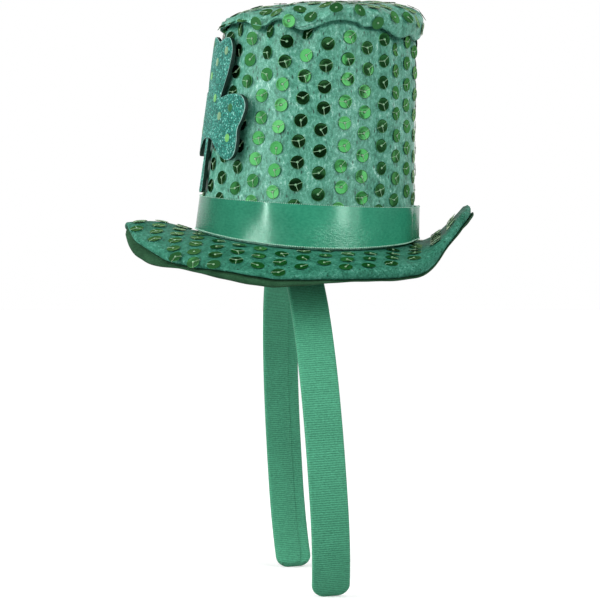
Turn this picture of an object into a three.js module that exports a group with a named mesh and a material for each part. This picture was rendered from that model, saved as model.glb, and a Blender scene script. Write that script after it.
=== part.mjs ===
// A mini top hat of sequin cloth, with a satin ribbon and a foam shamrock, on a ribbon-wrapped
// headband. Millimetres, +Z up. The band's arch spans X, the hat faces -Y, and the origin is the
// underside of the arch's top, where it rests on the head.
import * as THREE from "three";

const { degToRad, radToDeg, lerp, clamp } = THREE.MathUtils;

// Headband: a flat strip bent into an arch, flatter than a circle on top, with incurving legs
const BAND_WIDTH = 14.2;
const BAND_THICK = 2.6;
const BAND_EDGE_RADIUS = 1.1;
const BAND_HALF_SPAN = 66;
const ARCH_RISE = 94;
const ARCH_POWER = 2.3;
const LEG_FALL = 58;
const TIP_ANGLE = 124.3;
const TIP_CORNER = 4.2;
const BAND_LEAN = 3.6;
const BAND_STEPS = 56;
const TIP_STEPS = [0, 0.12, 0.4, 1];
const LAP_THICK = 0.5;
const LAP_EDGE = 2.9;

// Hat: where its foot stands on the band, and how it leans back and rolls to one side
const HAT_SEAT = 8.8;
const HAT_SETBACK = 5.6;
const HAT_LEAN = 3.8;
const HAT_ROLL = 3.4;
const GAP = 0.3;

// Crown: a tapered wall whose foot rises to the back and dips at the sides
const FOOT_RADIUS = 42;
const TOP_RADIUS = 37;
const SEAM_HEIGHT = 79.6;
const CROWN_WALL = 1.8;
const FOOT_TILT = 1.3;
const FOOT_DIP = 3.3;
const GATHER_SHARE = 0.22;
const GATHER_FADE = 14;
// Places up the wall, from 0 at its foot to 1 at its top edge
const WALL_OUTSIDE = [0, 0.2, 0.45, 0.65, 0.8, 0.9, 1];
const WALL_INSIDE = [1, 0.8, 0.4, 0];

// Crown tip: a puffed panel whose skirt hangs over the wall's top edge
const TIP_WALL = 1.4;
const HEM_ROUND = 0.5;
const WALL_TUCK = 2.2;
const TIP_TILT = 0.11;
const LOBE_SHARE = 0.08;
// The panel's face from its middle out, whose first rows the inner face repeats
const TIP_INSIDE = 3;
const TIP_PROFILE = [
  { out: 0.3, up: 10.9, wave: 0 },
  { out: 0.58, up: 10.2, wave: 0.05 },
  { out: 0.8, up: 8.8, wave: 0.3 },
  { out: 0.94, up: 6.4, wave: 0.7 },
  { out: 1.01, up: 3.2, wave: 1 },
];
// How far the gathered seam lies above its mean height, turning from the front by the +X side
const SEAM_WAVE = [
  { angle: 5, lift: -0.6 },
  { angle: 18, lift: -0.1 },
  { angle: 31, lift: 1.5 },
  { angle: 47, lift: -0.4 },
  { angle: 58, lift: 2.5 },
  { angle: 72, lift: -0.9 },
  { angle: 90, lift: 3.5 },
  { angle: 102, lift: 3.5 },
  { angle: 107, lift: 2.1 },
  { angle: 117, lift: 2.5 },
  { angle: 135, lift: -0.9 },
  { angle: 147, lift: 0.4 },
  { angle: 156, lift: -1.3 },
  { angle: 174, lift: 0.6 },
  { angle: 192, lift: 1.8 },
  { angle: 216, lift: -2.4 },
  { angle: 246, lift: 2.4 },
  { angle: 274, lift: -1.8 },
  { angle: 302, lift: 1.6 },
  { angle: 332, lift: -1.6 },
];

// Brim: felt below and sequin cloth above, drooping at the sides and folded up at the back
const COVER_THICK = 1.2;
const FELT_THICK = 2.5;
const COVER_INNER_RADIUS = 36;
const BRIM_CURVE = 1.25;
const SEAT_SAG = 0.75;
const NORMAL_STEP = 0.01;
// Places along the brim, from -1 at the hat's axis by 0 at the crown's foot to 1 at the edge
const FELT_PLACES = [-0.72, -0.4];
const BRIM_PLACES = [COVER_INNER_RADIUS / FOOT_RADIUS - 1, 0.04, 0.28, 0.52, 0.76];
const COVER_EDGE = 1;
const FELT_EDGE = 1.02;
// The edge's reach from the hat's axis and its height, and how far the brim humps on the way to it
const BRIM_EDGE = [
  { angle: 0, reach: 70.3, rise: 0.6, hump: 2.2 },
  { angle: 12, reach: 70.2, rise: -3, hump: 2 },
  { angle: 25, reach: 70, rise: -6.4, hump: 1.6 },
  { angle: 38, reach: 69.6, rise: -8.8, hump: 1.1 },
  { angle: 62, reach: 68.6, rise: -11.8, hump: 0.6 },
  { angle: 75, reach: 68, rise: -12.7, hump: 0.5 },
  { angle: 94, reach: 68, rise: -9.6, hump: 0.5 },
  { angle: 118, reach: 68, rise: -5.8, hump: 0.2 },
  { angle: 125, reach: 67, rise: -4.2, hump: -0.5 },
  { angle: 138, reach: 64, rise: 4.8, hump: -2.6 },
  { angle: 153, reach: 62, rise: 14, hump: -4.2 },
  { angle: 166, reach: 61, rise: 17, hump: -4.8 },
  { angle: 178, reach: 60.8, rise: 16.8, hump: -4.6 },
  { angle: 194, reach: 62, rise: 11, hump: -3.4 },
  { angle: 208, reach: 65, rise: 2.6, hump: -1.8 },
  { angle: 220, reach: 67.4, rise: -3.4, hump: -0.4 },
  { angle: 246, reach: 68, rise: -7, hump: 0.3 },
  { angle: 270, reach: 68, rise: -10.4, hump: 0.5 },
  { angle: 290, reach: 68.4, rise: -12, hump: 0.6 },
  { angle: 320, reach: 69.6, rise: -9.2, hump: 1.1 },
  { angle: 335, reach: 70, rise: -6.4, hump: 1.6 },
  { angle: 348, reach: 70.2, rise: -3, hump: 2 },
];

// Ribbon: one turn round the crown's foot, its end lapping over its start at the back
const RIBBON_TOP = 13.8;
const RIBBON_TILT = 0.9;
const RIBBON_THICK = 1;
const RIBBON_START = 172;
const RIBBON_LAP = 15;
const RIBBON_RAMP = 16;
const TAIL_LIFT = 0.8;
const RIBBON_STEPS = 76;

// Shamrock: three heart leaflets and a stem, bent less than the crown and nearest to it at one turn
const SHAMROCK_TURN = 12.9;
const SHAMROCK_OFFSET = -3.4;
const SHAMROCK_HEIGHT = 44.2;
const SHAMROCK_THICK = 1.6;
const SHAMROCK_STANDOFF = 0.8;
const SHAMROCK_BEND = 0.53;
// How much more the far leaflet falls back than the bend alone would make it
const SHAMROCK_CURL = 0.4;
const LEAVES = [
  { axis: 0, size: 1 },
  { axis: 100, size: 0.9 },
  { axis: -100, size: 0.9 },
];
const LEAF_OUTLINE = [
  { angle: 0, reach: 28.3 },
  { angle: 10, reach: 30.2 },
  { angle: 20, reach: 31.7 },
  { angle: 29, reach: 29 },
  { angle: 36, reach: 22.2 },
  { angle: 43, reach: 15.7 },
  { angle: 49, reach: 12.4 },
];
const LEAF_STEPS = 20;
const STEM_OUTLINE = [
  { angle: -9, reach: 8.6 },
  { angle: -4.2, reach: 16 },
  { angle: -3.4, reach: 29.4 },
  { angle: 3.4, reach: 30 },
  { angle: 4.2, reach: 16 },
  { angle: 9, reach: 8.6 },
];
const SHAMROCK_RINGS = [0.35, 0.7, 1];

// Steps round the hat
const HAT_STEPS = 72;

const FINISHES = {
  grosgrain: new THREE.MeshStandardMaterial({ color: 0x149a5a, roughness: 0.85, metalness: 0 }),
  felt: new THREE.MeshStandardMaterial({ color: 0x1d6b3c, roughness: 0.95, metalness: 0 }),
  sequinCloth: new THREE.MeshStandardMaterial({ color: 0x1f9a62, roughness: 0.45, metalness: 0.1 }),
  satin: new THREE.MeshStandardMaterial({ color: 0x12a45f, roughness: 0.35, metalness: 0 }),
  glitterFoam: new THREE.MeshStandardMaterial({ color: 0x178a72, roughness: 0.7, metalness: 0.2 }),
};

// Smooth value of one column of a table at an angle, level at the table's two ends
function tableAt(rows, column, angle) {
  const within = clamp(angle, rows[0].angle, rows.at(-1).angle);
  const next = Math.max(1, rows.findIndex((row) => row.angle >= within));
  const slope = (i) => {
    const [low, high] = [rows[i - 1], rows[i + 1]];
    return low && high ? (high[column] - low[column]) / (high.angle - low.angle) : 0;
  };
  const [from, to] = [rows[next - 1], rows[next]];
  const span = to.angle - from.angle;
  const t = (within - from.angle) / span;
  const bend = (t - 1) ** 2 * t * span * slope(next - 1) + t * t * (t - 1) * span * slope(next);
  return lerp(from[column], to[column], t * t * (3 - 2 * t)) + bend;
}

// A table that goes all the way round is lengthened by a copy of itself at each end
function roundTable(rows) {
  const turned = (by) => rows.map((row) => ({ ...row, angle: row.angle + by }));
  return [...turned(-360), ...rows, ...turned(360)];
}

const SEAM_ROUND = roundTable(SEAM_WAVE);
const BRIM_ROUND = roundTable(BRIM_EDGE);
const turnOf = (theta) => ((radToDeg(theta) % 360) + 360) % 360;
const seamLift = (theta) => tableAt(SEAM_ROUND, "lift", turnOf(theta));
const brimEdge = (theta, column) => tableAt(BRIM_ROUND, column, turnOf(theta));

// A point at a radius and height, turned from the front by way of +X
function polar(radius, theta, height) {
  return new THREE.Vector3(radius * Math.sin(theta), -radius * Math.cos(theta), height);
}

// Closed rings of points joined into one solid, capped at both ends or running round to its start
function skin(rings, endless) {
  const count = rings[0].length;
  const points = rings.flat();
  const faces = [];
  const index = (ring, step) => (ring % rings.length) * count + (step % count);
  for (let ring = 0; ring < rings.length - (endless ? 0 : 1); ring++) {
    for (let step = 0; step < count; step++) {
      const [a, b] = [index(ring, step), index(ring, step + 1)];
      const [c, d] = [index(ring + 1, step + 1), index(ring + 1, step)];
      const acrossFirst = points[a].distanceTo(points[c]) < points[b].distanceTo(points[d]);
      faces.push(...(acrossFirst ? [[a, b, c], [a, c, d]] : [[a, b, d], [b, c, d]]));
    }
  }
  if (!endless) {
    for (const [ring, flip] of [[0, true], [rings.length - 1, false]]) {
      const centre = new THREE.Vector3();
      rings[ring].forEach((point) => centre.addScaledVector(point, 1 / count));
      points.push(centre);
      for (let step = 0; step < count; step++) {
        const edge = [index(ring, step), index(ring, step + 1)];
        faces.push([...(flip ? edge.reverse() : edge), points.length - 1]);
      }
    }
  }
  return solid(points, faces);
}

// A geometry whose faces point out, whichever way its rings were laid
function solid(points, faces) {
  const sixfoldVolume = ([a, b, c]) => points[a].dot(points[b].clone().cross(points[c]));
  const volume = faces.reduce((sum, face) => sum + sixfoldVolume(face), 0);
  const outward = volume > 0 ? faces : faces.map(([a, b, c]) => [a, c, b]);
  const geometry = new THREE.BufferGeometry().setFromPoints(points);
  geometry.setIndex(outward.flat());
  geometry.computeVertexNormals();
  return geometry;
}

// A ring of points round the hat, from a function of the turn angle
function hatRing(pointAt) {
  return Array.from({ length: HAT_STEPS }, (_, step) => pointAt((step / HAT_STEPS) * 2 * Math.PI));
}

function part(name, geometry, finish) {
  const mesh = new THREE.Mesh(geometry, FINISHES[finish]);
  mesh.name = name;
  return mesh;
}

// Headband

class BandArch extends THREE.Curve {
  getPoint(t, target = new THREE.Vector3()) {
    const turn = degToRad(lerp(-TIP_ANGLE, TIP_ANGLE, t));
    const upper = Math.abs(turn) < Math.PI / 2;
    const power = upper ? 2 / ARCH_POWER : 1;
    const rise = upper ? ARCH_RISE : LEG_FALL;
    const across = Math.abs(Math.sin(turn)) ** power * Math.sign(turn);
    const up = Math.abs(Math.cos(turn)) ** power * Math.sign(Math.cos(turn));
    return target.set(BAND_HALF_SPAN * across, 0, rise * up - ARCH_RISE);
  }
}

// The band's section, x across its width and y outward: the wrap's edge laps on the inner face
function bandSection() {
  const half = BAND_WIDTH / 2;
  const [top, bottom] = [BAND_THICK / 2, -BAND_THICK / 2];
  const r = BAND_EDGE_RADIUS;
  const section = new THREE.Shape();
  section.absarc(half - r, top - r, r, 0, Math.PI / 2);
  section.absarc(r - half, top - r, r, Math.PI / 2, Math.PI);
  section.absarc(r - half, bottom - LAP_THICK + r, r, Math.PI, 1.5 * Math.PI);
  section.lineTo(LAP_EDGE - LAP_THICK, bottom - LAP_THICK);
  section.lineTo(LAP_EDGE, bottom);
  section.absarc(half - r, bottom + r, r, 1.5 * Math.PI, 2 * Math.PI);
  return section.extractPoints(1).shape;
}

// How much of the full width is left at a distance from the tip's end
function tipShare(distance) {
  const inset = Math.max(0, TIP_CORNER - distance);
  const cut = TIP_CORNER - Math.sqrt(TIP_CORNER ** 2 - inset ** 2);
  return 1 - cut / (BAND_WIDTH / 2);
}

function headband() {
  const arch = new BandArch();
  arch.arcLengthDivisions = 1000;
  const length = arch.getLength();
  const section = bandSection();
  const ends = TIP_STEPS.map((step) => step * TIP_CORNER);
  const run = length - 2 * TIP_CORNER;
  const middle = Array.from({ length: BAND_STEPS - 1 }, (_, i) => ((i + 1) / BAND_STEPS) * run);
  const places = [
    ...ends,
    ...middle.map((place) => place + TIP_CORNER),
    ...ends.map((end) => length - end).reverse(),
  ];
  const rings = places.map((place) => {
    const centre = arch.getPointAt(place / length);
    const along = arch.getTangentAt(place / length);
    const outward = new THREE.Vector3(-along.z, 0, along.x);
    const share = tipShare(Math.min(place, length - place));
    return section.map(({ x, y }) =>
      centre.clone().add(new THREE.Vector3(0, x * share, 0)).addScaledVector(outward, y),
    );
  });
  const mesh = part("headband", skin(rings, false), "grosgrain");
  mesh.position.z = BAND_THICK / 2 + LAP_THICK;
  return mesh;
}

// Crown

const footHeight = (theta) => -FOOT_TILT * Math.cos(theta) - FOOT_DIP * Math.sin(theta) ** 2;
const seamHeight = (theta) => SEAM_HEIGHT + seamLift(theta);

function crownRadius(theta, height) {
  const plain = lerp(FOOT_RADIUS, TOP_RADIUS, height / SEAM_HEIGHT);
  const below = Math.max(0, seamHeight(theta) - height);
  return plain + GATHER_SHARE * seamLift(theta) * Math.exp(-below / GATHER_FADE);
}

function crownSide() {
  const wallRing = (share, inset) =>
    hatRing((theta) => {
      const foot = footHeight(theta) + GAP;
      const height = lerp(foot, seamHeight(theta) + WALL_TUCK, share);
      return polar(crownRadius(theta, height) - inset, theta, height);
    });
  const outer = WALL_OUTSIDE.map((share) => wallRing(share, 0));
  const inner = WALL_INSIDE.map((share) => wallRing(share, CROWN_WALL));
  return part("crown_side", skin([...outer, ...inner], true), "sequinCloth");
}

function crownTip() {
  const lobe = (theta) => -LOBE_SHARE * seamLift(theta);
  const skirtInner = (theta) => crownRadius(theta, seamHeight(theta)) + GAP;
  const skirtOuter = (theta) => skirtInner(theta) + TIP_WALL;
  const domeRing = ({ out, up, wave }, inset) =>
    hatRing((theta) => {
      const radius = out * (lerp(TOP_RADIUS, skirtOuter(theta), wave) + wave * lobe(theta)) - inset;
      const tilt = -TIP_TILT * radius * Math.cos(theta);
      return polar(radius, theta, SEAM_HEIGHT + up + tilt + wave * seamLift(theta) - inset);
    });
  const skirtRing = (radiusAt, above) =>
    hatRing((theta) => polar(radiusAt(theta), theta, seamHeight(theta) + above));
  const outer = TIP_PROFILE.map((row) => domeRing(row, 0));
  const skirt = [
    skirtRing((theta) => skirtOuter(theta) + lobe(theta) / 2, TIP_WALL),
    skirtRing((theta) => skirtOuter(theta) - HEM_ROUND, 0),
    skirtRing(skirtInner, GAP),
    skirtRing(skirtInner, WALL_TUCK + 2 * GAP),
  ];
  const inner = TIP_PROFILE.slice(0, TIP_INSIDE).reverse().map((row) => domeRing(row, TIP_WALL));
  return part("crown_tip", skin([...outer, ...skirt, ...inner], false), "sequinCloth");
}

// Brim

// A point of the brim's upper face
function brimFace(theta, along) {
  if (along < 0) {
    const share = 1 + along;
    const tilt = -FOOT_TILT * Math.cos(theta) * share;
    const sag = FOOT_DIP * (Math.sin(theta) * share) ** 2 + SEAT_SAG * (1 - share ** 2);
    return polar(FOOT_RADIUS * share, theta, tilt - sag);
  }
  const reach = brimEdge(theta, "reach");
  const rise = brimEdge(theta, "rise");
  const hump = brimEdge(theta, "hump") * Math.sin(Math.PI * Math.min(1, along));
  const height = lerp(footHeight(theta), rise, along ** BRIM_CURVE) + hump;
  return polar(lerp(FOOT_RADIUS, reach, along), theta, height);
}

// A point under the upper face, at a depth square to it
function brimLayer(theta, along, depth) {
  const point = brimFace(theta, along);
  const outward = brimFace(theta, along + NORMAL_STEP).sub(brimFace(theta, along - NORMAL_STEP));
  const sideways = brimFace(theta + NORMAL_STEP, along).sub(brimFace(theta - NORMAL_STEP, along));
  const normal = outward.cross(sideways).normalize();
  return point.addScaledVector(normal, -depth);
}

// Rings over a layer of the brim and back under it
function brimRings(places, depth, thick) {
  const layer = (along, below) => hatRing((theta) => brimLayer(theta, along, below));
  const upper = places.map((along) => layer(along, depth));
  const lower = places.toReversed().map((along) => layer(along, depth + thick));
  return [...upper, ...lower];
}

function brimCover() {
  const rings = brimRings([...BRIM_PLACES, COVER_EDGE], 0, COVER_THICK);
  return part("brim_cover", skin(rings, true), "sequinCloth");
}

function brimFelt() {
  const places = [...FELT_PLACES, ...BRIM_PLACES, FELT_EDGE];
  const rings = brimRings(places, COVER_THICK + GAP, FELT_THICK);
  return part("brim_felt", skin(rings, false), "felt");
}

// Ribbon

// The ribbon's lower edge clears the brim, which rises away from the crown at the back
function ribbonFoot(theta, out) {
  const along = out / (brimEdge(theta, "reach") - FOOT_RADIUS);
  return Math.max(footHeight(theta), brimFace(theta, along).z) + 2 * GAP;
}

function hatRibbon() {
  const sweep = 360 + RIBBON_LAP;
  const rings = Array.from({ length: RIBBON_STEPS + 1 }, (_, step) => {
    const swept = (step / RIBBON_STEPS) * sweep;
    const theta = degToRad(RIBBON_START + swept);
    const over = clamp((swept - 360 + RIBBON_RAMP) / RIBBON_RAMP, 0, 1);
    const tail = clamp((swept - 360) / RIBBON_LAP, 0, 1);
    const lift = GAP + over * (RIBBON_THICK + GAP) + TAIL_LIFT * tail ** 2;
    const foot = ribbonFoot(theta, lift + RIBBON_THICK);
    const top = RIBBON_TOP - RIBBON_TILT * Math.cos(theta);
    const edge = (height, out) => polar(crownRadius(theta, height) + lift + out, theta, height);
    return [edge(foot, 0), edge(foot, RIBBON_THICK), edge(top, RIBBON_THICK), edge(top, 0)];
  });
  return part("hat_ribbon", skin(rings, false), "satin");
}

// Shamrock

// The flat outline as turn and reach from its centre, from the top leaflet by way of +X
function shamrockOutline() {
  const half = LEAF_OUTLINE.at(-1).angle;
  const leaf = ({ axis, size }) =>
    Array.from({ length: LEAF_STEPS + 1 }, (_, step) => {
      const off = lerp(-half, half, step / LEAF_STEPS);
      return { angle: axis + off, reach: size * tableAt(LEAF_OUTLINE, "reach", Math.abs(off)) };
    });
  const stem = STEM_OUTLINE.map(({ angle, reach }) => ({ angle: 180 + angle, reach }));
  const [top, near, far] = LEAVES.map(leaf);
  return [...top, ...near, ...stem, ...far];
}

// A point of the flat outline bent towards the crown, at a height out from the foam's back
function onShamrock({ angle, reach }, share, out) {
  const turn = degToRad(SHAMROCK_TURN);
  const across = SHAMROCK_OFFSET + share * reach * Math.sin(degToRad(angle));
  const height = SHAMROCK_HEIGHT + share * reach * Math.cos(degToRad(angle));
  const bendRadius = crownRadius(turn, SHAMROCK_HEIGHT) / SHAMROCK_BEND;
  const swing = across / bendRadius;
  const curl = 1 + SHAMROCK_CURL * (Math.min(across, 0) / LEAF_OUTLINE[0].reach) ** 2;
  const fallBack = bendRadius * (1 - Math.cos(swing)) * curl;
  const point = polar(crownRadius(turn, height) + SHAMROCK_STANDOFF + out - fallBack, turn, height);
  const sideways = polar(1, turn + Math.PI / 2, 0);
  return point.addScaledVector(sideways, bendRadius * Math.sin(swing));
}

function shamrock() {
  const outline = shamrockOutline();
  const face = (out) => SHAMROCK_RINGS.map((share) => outline.map((row) => onShamrock(row, share, out)));
  const rings = [...face(SHAMROCK_THICK), ...face(0).reverse()];
  return part("shamrock", skin(rings, false), "glitterFoam");
}

const band = new THREE.Group();
band.rotation.x = degToRad(BAND_LEAN);
band.add(headband());

const hat = new THREE.Group();
hat.position.set(0, HAT_SETBACK, HAT_SEAT);
hat.rotation.set(degToRad(-HAT_LEAN), degToRad(HAT_ROLL), 0);
hat.add(brimFelt(), brimCover(), crownSide(), crownTip(), hatRibbon(), shamrock());

const miniHatHeadband = new THREE.Group();
miniHatHeadband.add(band, hat);
export default miniHatHeadband;
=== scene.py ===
import math

import bpy
import numpy as np
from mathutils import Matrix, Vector


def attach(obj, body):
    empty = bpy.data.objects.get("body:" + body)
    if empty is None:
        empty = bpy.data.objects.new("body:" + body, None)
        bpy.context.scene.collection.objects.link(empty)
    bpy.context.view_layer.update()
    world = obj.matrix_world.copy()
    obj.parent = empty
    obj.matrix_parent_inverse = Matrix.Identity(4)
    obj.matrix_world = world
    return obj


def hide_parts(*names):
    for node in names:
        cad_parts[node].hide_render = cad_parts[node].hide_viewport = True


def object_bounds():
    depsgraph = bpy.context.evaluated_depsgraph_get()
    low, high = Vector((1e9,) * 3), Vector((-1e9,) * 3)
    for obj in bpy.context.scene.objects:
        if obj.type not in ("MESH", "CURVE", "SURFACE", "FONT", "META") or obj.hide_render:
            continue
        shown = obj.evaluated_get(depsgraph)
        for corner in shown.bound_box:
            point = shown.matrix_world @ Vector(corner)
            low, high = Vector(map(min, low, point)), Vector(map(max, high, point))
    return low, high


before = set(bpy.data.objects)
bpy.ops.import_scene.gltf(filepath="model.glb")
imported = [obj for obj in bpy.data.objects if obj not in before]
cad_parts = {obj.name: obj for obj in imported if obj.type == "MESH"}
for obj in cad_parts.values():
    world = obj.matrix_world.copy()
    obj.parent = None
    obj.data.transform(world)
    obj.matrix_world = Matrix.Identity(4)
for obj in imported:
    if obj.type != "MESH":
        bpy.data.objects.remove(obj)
cad_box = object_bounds()

MM = 0.001
BODY = "root"
GAP = 0.3
SEED = 17

# Camera, at the photograph's angle, and the floor
CAMERA_AZIMUTH = 82.8
CAMERA_ELEVATION = 0.8
CAMERA_DISTANCE = 1200
CAMERA_TARGET = (0, 3.25, -16.08)
SENSOR_WIDTH = 36
PIXELS_PER_MM = 2.57
PHOTO_WIDTH = 600
CLIP_END = 100
FLOOR_RADIUS = 6000
FLOOR_STEPS = 96
# The room's brightness from straight behind the hat, 0, to straight behind the camera, 1, and overhead
ROOM_AROUND = {
    "place": [0, 0.17, 0.22, 0.67, 0.75, 0.92, 0.95],
    "level": [0.95, 0.95, 0.2, 0.16, 0.14, 0.1, 0.03],
}
ROOM_ABOVE = 0.6
ROOM_OVERHEAD = {"height": [0.35, 0.7], "share": [0, 1]}
# The floor's own glow, by the distance from the middle in metres, and how pale it is to all but the camera
FLOOR_GLOW = {"distance": [0.2, 0.7, 3, 6], "level": [0.2, 0.28, 0.6, 0.7]}
FLOOR_BOUNCE = 0.56
# Soft oblong lights aimed at the hat: azimuth from the camera's, elevation, width, height, radiance, what
# each one shines on, and whether it only fills or only makes highlights
LIGHTS = {
    "softbox_left": (-46, 26, 860, 1900, 2.9, "all but ribbon", "both"),
    "softbox_right": (42, 24, 900, 1700, 2.8, "all", "both"),
    "fill_left": (-84, 12, 900, 1700, 4.3, "all but ribbon", "fill"),
    "fill_right": (82, 12, 700, 1700, 1.3, "all but ribbon", "fill"),
    "sheen_left": (-75, 16, 700, 1700, 1.2, "all but ribbon", "highlights"),
    "sheen_right": (112, 10, 600, 1700, 0.8, "all but ribbon", "highlights"),
    "ribbon_fill": (-33, 26, 860, 1900, 2.9, "ribbon", "fill"),
    "ribbon_strip": (-50, 15, 60, 1700, 50, "ribbon", "highlights"),
    "ribbon_glow": (33, 15, 330, 1500, 6, "ribbon", "highlights"),
}
LIGHT_DISTANCE = 1550
LIGHT_AIM = (0, 0, 40)

# Headband
BAND_WIDTH = 14.2
BAND_THICK = 2.6
BAND_EDGE_RADIUS = 1.1
BAND_HALF_SPAN = 66
ARCH_RISE = 94
ARCH_POWER = 2.3
LEG_FALL = 58
TIP_ANGLE = 124.3
TIP_CORNER = 4.2
BAND_LEAN = 3.6
BAND_SAMPLES = 8001
BAND_STEPS = 320
TIP_STEPS = 12
CORNER_STEPS = 5
LAP_THICK = 0.5
LAP_EDGE = 2.9
RIB_PITCH = 0.85

# Hat: where it stands, and how it leans back and rolls to one side
HAT_PLACE = (0, 5.6, 8.8)
HAT_LEAN = 3.8
HAT_ROLL = 3.4
HAT_STEPS = 400

# Crown
FOOT_RADIUS = 42
TOP_RADIUS = 37
SEAM_HEIGHT = 79.6
CROWN_WALL = 1.8
FOOT_TILT = 1.3
FOOT_DIP = 3.3
GATHER_SHARE = 0.22
GATHER_FADE = 14
WALL_ROWS = 110
WALL_BACK_STRIDE = 12
# How far the gathered seam lies above its mean height, turning from the front by the +X side
SEAM_WAVE = {
    "angle": [5, 18, 31, 47, 58, 72, 90, 102, 107, 117, 135, 147, 156, 174, 192, 216, 246, 274, 302, 332],
    "lift": [-0.6, -0.1, 1.5, -0.4, 2.5, -0.9, 3.5, 3.5, 2.1, 2.5, -0.9, 0.4, -1.3, 0.6, 1.8, -2.4, 2.4,
             -1.8, 1.6, -1.6],
}
# Dents where the seam's thread pulls the wall in, each fading down the wall
PUCKERS = {
    "angle": [21, 47.5, 72, 135, 155, 176, 214, 232, 271, 300, 331],
    "depth": [1.3, 2, 2.3, 1.7, 1.2, 1.4, 2, 1.2, 1.8, 1.3, 1.6],
    "width": [4.5, 4, 4.5, 5, 4.5, 5, 4.5, 4.5, 5, 4.5, 4.5],
    "length": [11, 14, 16, 14, 11, 12, 15, 11, 14, 12, 13],
}
# How much wider a dent grows over its length
PUCKER_SPREAD = 0.8
# Small pleats under the seam, whose spacing drifts
PLEAT_COUNT = 46
PLEAT_DEPTH = 0.22
PLEAT_FADE = 5
PLEAT_DRIFT = 2
PLEAT_DRIFT_COUNT = 5
UNEVEN = 0.3
# How fast uneven waves climb with the height
WANDER_CLIMB = 0.09
SEAM_GROOVE = 1.4
SEAM_GROOVE_WIDTH = 1.1

# Crown tip
TIP_WALL = 1.4
HEM_TURN = 0.35
WALL_TUCK = 2.2
TIP_TILT = 0.11
LOBE_SHARE = 0.08
TIP_PROFILE = {
    "out": [0.3, 0.58, 0.8, 0.94, 1.01],
    "up": [10.9, 10.2, 8.8, 6.4, 3.2],
    "wave": [0, 0.05, 0.3, 0.7, 1],
}
TIP_LAST = len(TIP_PROFILE["out"]) + 3
# The middle's rise over the first row, and the place in rows where the face starts
TIP_APEX = 0.2
TIP_START = 0.15
TIP_ROWS = 70
TIP_CREASES = 23
TIP_CREASE_DEPTH = 0.45
TIP_CREASE_DRIFT = 1.5
TIP_CREASE_DRIFT_COUNT = 3
TIP_SWELL = 0.5
# The rows of the profile over which the creases and the swelling rise and fall
TIP_CREASE_SPAN = {"start": 2, "rise": 3, "end": 7, "fall": 1.5}
TIP_SWELL_SPAN = {"start": 0, "rise": 2, "end": 7, "fall": 3}

# Brim
COVER_THICK = 1.2
FELT_THICK = 2.5
COVER_INNER_RADIUS = 36
BRIM_CURVE = 1.25
SEAT_SAG = 0.75
NORMAL_STEP = 0.004
BRIM_ROWS = 44
# The brim's cloth is the crown's cloth darkened by these shares: painted shade
BRIM_CLOTH_PAINTED_SHADE = (0.36, 0.58, 0.53)
FELT_START = -0.72
FELT_EDGE = 1.02
RIM_UNEVEN = 0.2
# The edge's reach from the hat's axis and its height, and how far the brim humps on the way to it
BRIM_EDGE = {
    "angle": [0, 12, 25, 38, 62, 75, 94, 118, 125, 138, 153, 166, 178, 194, 208, 220, 246, 270, 290,
              320, 335, 348],
    "reach": [70.3, 70.2, 70, 69.6, 68.6, 68, 68, 68, 67, 64, 62, 61, 60.8, 62, 65, 67.4, 68, 68, 68.4,
              69.6, 70, 70.2],
    "rise": [0.6, -3, -6.4, -8.8, -11.8, -12.7, -9.6, -5.8, -4.2, 4.8, 14, 17, 16.8, 11, 2.6, -3.4, -7,
             -10.4, -12, -9.2, -6.4, -3],
    "hump": [2.2, 2, 1.6, 1.1, 0.6, 0.5, 0.5, 0.2, -0.5, -2.6, -4.2, -4.8, -4.6, -3.4, -1.8, -0.4, 0.3,
             0.5, 0.6, 1.1, 1.6, 2],
}
# How far the cloth turns down over the edge, how far the felt gapes off it, reaches past it and drops
BRIM_RIM = {
    "angle": [0, 6, 12, 18, 24, 30, 37, 46, 56, 68, 80, 95, 112, 120, 128, 136, 146, 160, 180, 215, 250, 290,
              325],
    "turn_down": [0, 0.1, 0.5, 1.2, 1.5, 2.2, 2.8, 2.2, 0.4, 0, 0.8, 2.4, 3.6, 3.8, 3, 1.8, 2, 2.8, 2.9, 2,
                  0.8, 0, 0.2],
    "gape": [0.1, 0.1, 0.1, 0.1, 0.1, 0, 0, 0, 0.4, 0.8, 0.3, 0, 0, 0, 0, 0, 0, 0, 0, 0, 0.2, 0.3, 0.1],
    "felt_out": [-0.6, -0.2, 0.2, 0.5, 0.5, 0.2, -0.3, -0.3, 0.1, 0.2, 0, -0.6, -0.8, -0.9, -1, -1, -1, -1,
                 -1, -0.7, -0.1, 0.1, -0.1],
    "felt_drop": [0.8, 1.4, 3.2, 4.2, 4, 3, 1.3, 0.4, 0.7, 0.9, 0.5, 0.3, 1.2, 1.5, 0.6, -0.5, 0, 0.8, 0.8,
                  0.3, 0.3, 0.5, 0.6],
}
RIM_START = 0.8
RIM_RUN = 0.12
RIM_TURNS = [54, 18, -18, -54]
LAYER_GAP = 0.05

# Ribbon
RIBBON_TOP = 13.8
RIBBON_WIDTH = 16
RIBBON_TILT = 0.9
RIBBON_THICK = 1
# Room left for the flutter in the ribbon's thickness
RIBBON_SLACK = 0.2
RIBBON_FLUTTER = 0.22
RIBBON_START = 172
RIBBON_LAP = 15
RIBBON_RAMP = 16
TAIL_LIFT = 0.8
RIBBON_STEPS = 520
RIBBON_ROWS = 14
RIBBON_FLARE = 0.7
FLARE_TURN = 132
FLARE_WIDTH = 22
# A place where the ribbon is slightly twisted
TWIST_TURN = 53
TWIST_SLOPE = 0.17
TWIST_WIDTH = 9
RIBBON_HEM_LIFT = 0.5
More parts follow.
